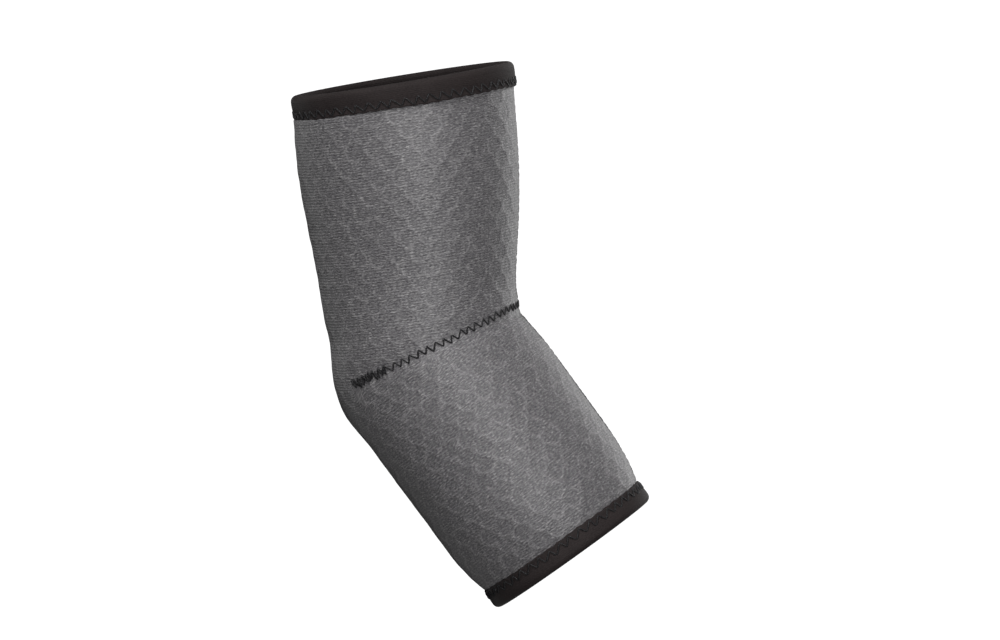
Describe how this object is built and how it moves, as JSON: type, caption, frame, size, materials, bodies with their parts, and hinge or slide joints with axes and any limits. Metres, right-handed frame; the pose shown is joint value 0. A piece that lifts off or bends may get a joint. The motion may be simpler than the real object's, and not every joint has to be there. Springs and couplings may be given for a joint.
{
  "type": "elbow support sleeve",
  "caption": "Pull-on knit-faced foam sleeve, sewn to a bent shape by side darts, with folded elastic bindings at the upper-arm and forearm openings.",
  "frame": {"origin": "on the upper arm's axis, 6 mm below the edge of the upper-arm opening, where the binding grips the arm", "axes": "+Z along the upper arm, out of its opening; +X towards the crook of the elbow, the way the forearm leans; +Y away from the near side"},
  "size_m": [0.14, 0.0982, 0.2305],
  "materials": {
    "face_knit": "heather-grey knit embossed with a honeycomb of soft cells",
    "foam": "matte black closed-cell foam",
    "lining_knit": "fine dark jersey",
    "binding_tape": "dark brown-black folded elastic tape",
    "sewing_thread": "black polyester thread"
  },
  "bodies": {
    "upper_sleeve": {"upper_face_fabric": "face_knit", "upper_foam_core": "foam", "upper_lining": "lining_knit", "elbow_face_fabric": "face_knit", "elbow_foam_core": "foam", "elbow_lining": "lining_knit", "upper_binding": "binding_tape", "upper_binding_thread": "sewing_thread", "near_dart_needle_thread": "sewing_thread", "near_dart_bobbin_thread": "sewing_thread", "near_dart_backtack": "sewing_thread", "far_dart_needle_thread": "sewing_thread", "far_dart_bobbin_thread": "sewing_thread", "far_dart_backtack": "sewing_thread", "upper_front_seam_needle_thread": "sewing_thread", "upper_front_seam_bobbin_thread": "sewing_thread", "elbow_front_seam_needle_thread": "sewing_thread", "elbow_front_seam_bobbin_thread": "sewing_thread"},
    "forearm_sleeve": {"forearm_face_fabric": "face_knit", "forearm_foam_core": "foam", "forearm_lining": "lining_knit", "forearm_binding": "binding_tape", "forearm_binding_thread": "sewing_thread", "forearm_front_seam_needle_thread": "sewing_thread", "forearm_front_seam_bobbin_thread": "sewing_thread"}
  },
  "joints": [
    {"name": "elbow_flex", "type": "hinge", "parent": "upper_sleeve", "child": "forearm_sleeve", "pos_m": [0, 0, -0.11], "axis": [0, -1, 0], "range_deg": [-30, 85], "stiffness_Nm_per_rad": 0.4, "deforming": ["elbow_face_fabric", "elbow_foam_core", "elbow_lining", "near_dart_needle_thread", "near_dart_bobbin_thread", "near_dart_backtack", "far_dart_needle_thread", "far_dart_bobbin_thread", "far_dart_backtack", "elbow_front_seam_needle_thread", "elbow_front_seam_bobbin_thread"]}
  ]
}
